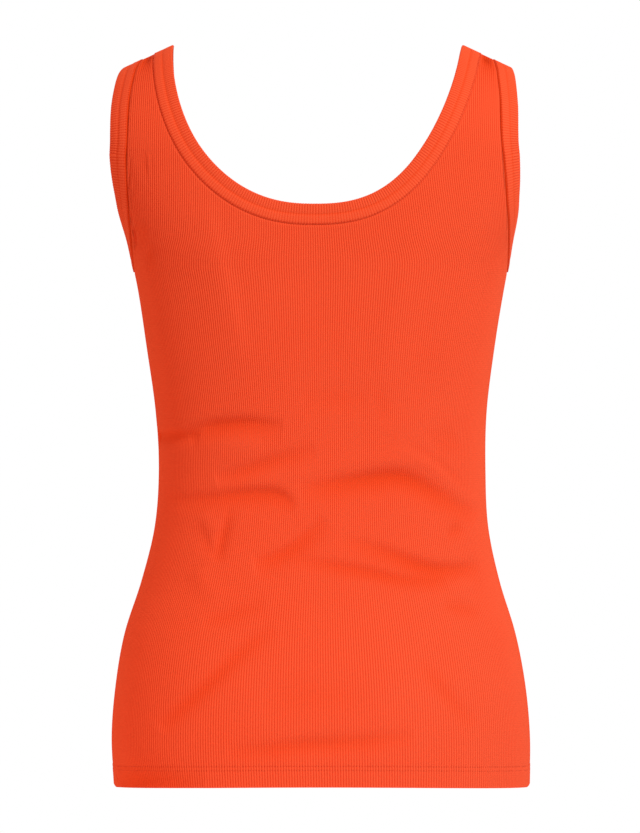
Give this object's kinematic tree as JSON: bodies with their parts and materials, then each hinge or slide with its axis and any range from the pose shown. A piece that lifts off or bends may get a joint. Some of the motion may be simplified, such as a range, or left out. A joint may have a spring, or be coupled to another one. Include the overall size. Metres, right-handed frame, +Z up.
{
  "type": "ribbed tank top",
  "caption": "Sleeveless ribbed knit top in its worn, hollow form, with a scooped neck, wide straps, bound edges, a drawn-in waist and a straight turned-up hem.",
  "frame": {"origin": "midway between the two shoulder straps, level with the underside of their middles, where the wearer's shoulders hold the garment up", "axes": "+Z up, +Y the way the wearer faces (front panel), -Y the back panel, +X the wearer's right side"},
  "size_m": [0.3521, 0.2392, 0.6219],
  "materials": {
    "panel_rib": "matt knitted cotton rib",
    "binding_rib": "matt knitted cotton rib, folded band"
  },
  "bodies": {
    "root": {"back_panel": "panel_rib", "front_panel": "panel_rib", "neck_binding": "binding_rib", "armhole_binding_left": "binding_rib", "armhole_binding_right": "binding_rib"}
  },
  "joints": []
}
